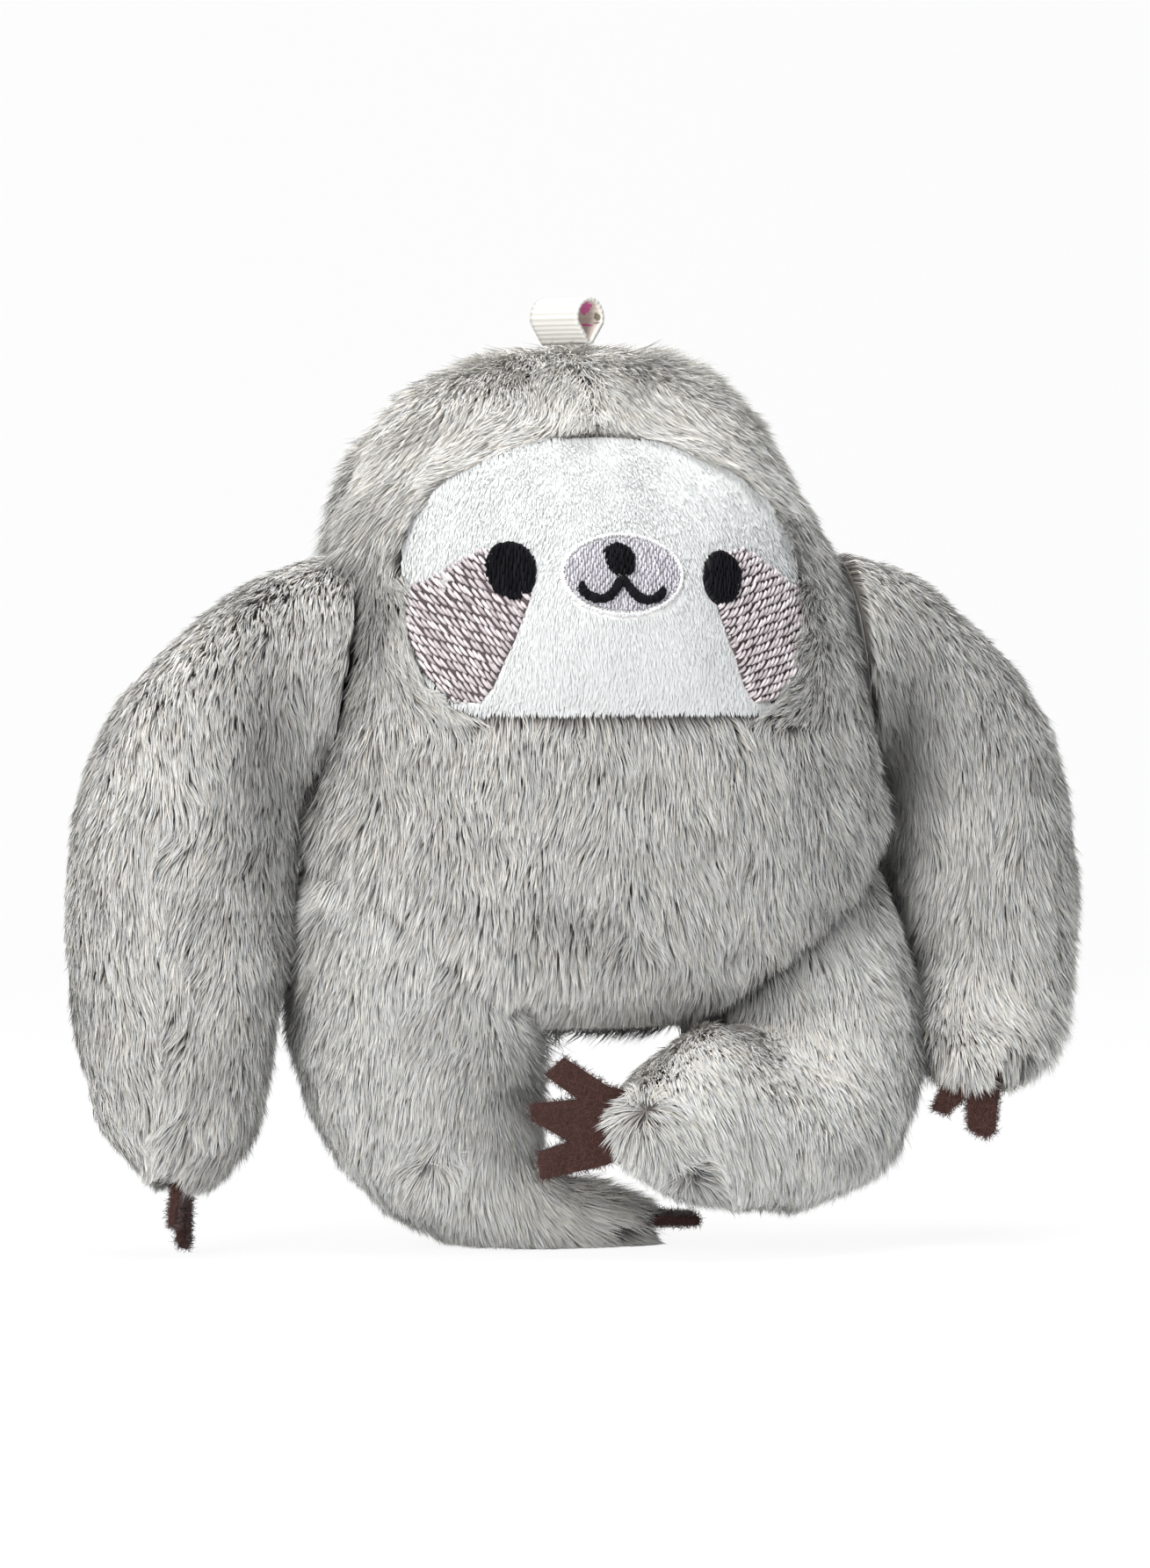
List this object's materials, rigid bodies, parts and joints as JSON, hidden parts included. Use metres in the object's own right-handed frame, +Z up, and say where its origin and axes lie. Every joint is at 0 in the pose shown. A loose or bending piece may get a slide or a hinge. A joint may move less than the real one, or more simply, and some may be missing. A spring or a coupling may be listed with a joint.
{
  "type": "plush sloth",
  "caption": "Plush sloth with long hanging arms, curled legs, felt claws, an embroidered face and a ribbon loop on the crown; its arms and legs turn at their seams.",
  "frame": {"origin": "Centre of the bounding box on the surface that the toy stands on.", "axes": "+X toward the toy's right-hand side in the picture, +Y toward its back, +Z up; the face looks along -Y."},
  "size_m": [0.1488, 0.0624, 0.135],
  "materials": {
    "pile_fabric": "matt pile",
    "face_fabric": "short soft pile",
    "stuffing_fibre": "loose fibre",
    "cheek_thread": "satin stitch",
    "muzzle_thread": "satin stitch",
    "white_thread": "satin stitch",
    "black_thread": "satin stitch",
    "claw_felt": "matt felt",
    "ribbon_weave": "ribbed weave"
  },
  "bodies": {
    "body": {"chest_panel": "pile_fabric", "back_panel": "pile_fabric", "hood_left": "pile_fabric", "hood_right": "pile_fabric", "face_panel": "face_fabric", "body_stuffing": "stuffing_fibre", "cheek_patch_left": "cheek_thread", "cheek_patch_right": "cheek_thread", "eye_left": "black_thread", "eye_right": "black_thread", "muzzle_patch": "muzzle_thread", "muzzle_border": "white_thread", "nose": "black_thread", "mouth": "black_thread"},
    "left_arm": {"left_arm_outer_panel": "pile_fabric", "left_arm_inner_panel": "pile_fabric", "left_arm_stuffing": "stuffing_fibre", "left_hand_claws": "claw_felt"},
    "right_arm": {"right_arm_outer_panel": "pile_fabric", "right_arm_inner_panel": "pile_fabric", "right_arm_stuffing": "stuffing_fibre", "right_hand_claws": "claw_felt"},
    "left_leg": {"left_leg_front_panel": "pile_fabric", "left_leg_back_panel": "pile_fabric", "left_leg_stuffing": "stuffing_fibre", "left_foot_claws": "claw_felt"},
    "right_leg": {"right_leg_front_panel": "pile_fabric", "right_leg_back_panel": "pile_fabric", "right_leg_stuffing": "stuffing_fibre", "right_foot_claws": "claw_felt"},
    "ribbon": {"ribbon_loop": "ribbon_weave"}
  },
  "joints": [
    {"name": "left_shoulder", "type": "hinge", "parent": "body", "child": "left_arm", "pos_m": [-0.03605, 0.00153, 0.0845], "axis": [-0.9885, 0, 0.1513], "range_deg": [-30, 110]},
    {"name": "right_shoulder", "type": "hinge", "parent": "body", "child": "right_arm", "pos_m": [0.03955, 0.00153, 0.0845], "axis": [-0.9885, 0, -0.1513], "range_deg": [-50, 90]},
    {"name": "left_hip", "type": "hinge", "parent": "body", "child": "left_leg", "pos_m": [-0.02465, 0.00153, 0.0441], "axis": [-0.6652, 0, -0.7466], "range_deg": [-35, 0]},
    {"name": "right_hip", "type": "hinge", "parent": "body", "child": "right_leg", "pos_m": [0.02815, 0.00153, 0.0441], "axis": [-0.6652, 0, 0.7466], "range_deg": [-10, 0]},
    {"name": "ribbon_fold", "type": "hinge", "parent": "body", "child": "ribbon", "pos_m": [-0.00075, 0.00503, 0.12925], "axis": [0.5299, -0.848, 0], "range_deg": [-30, 30]}
  ]
}
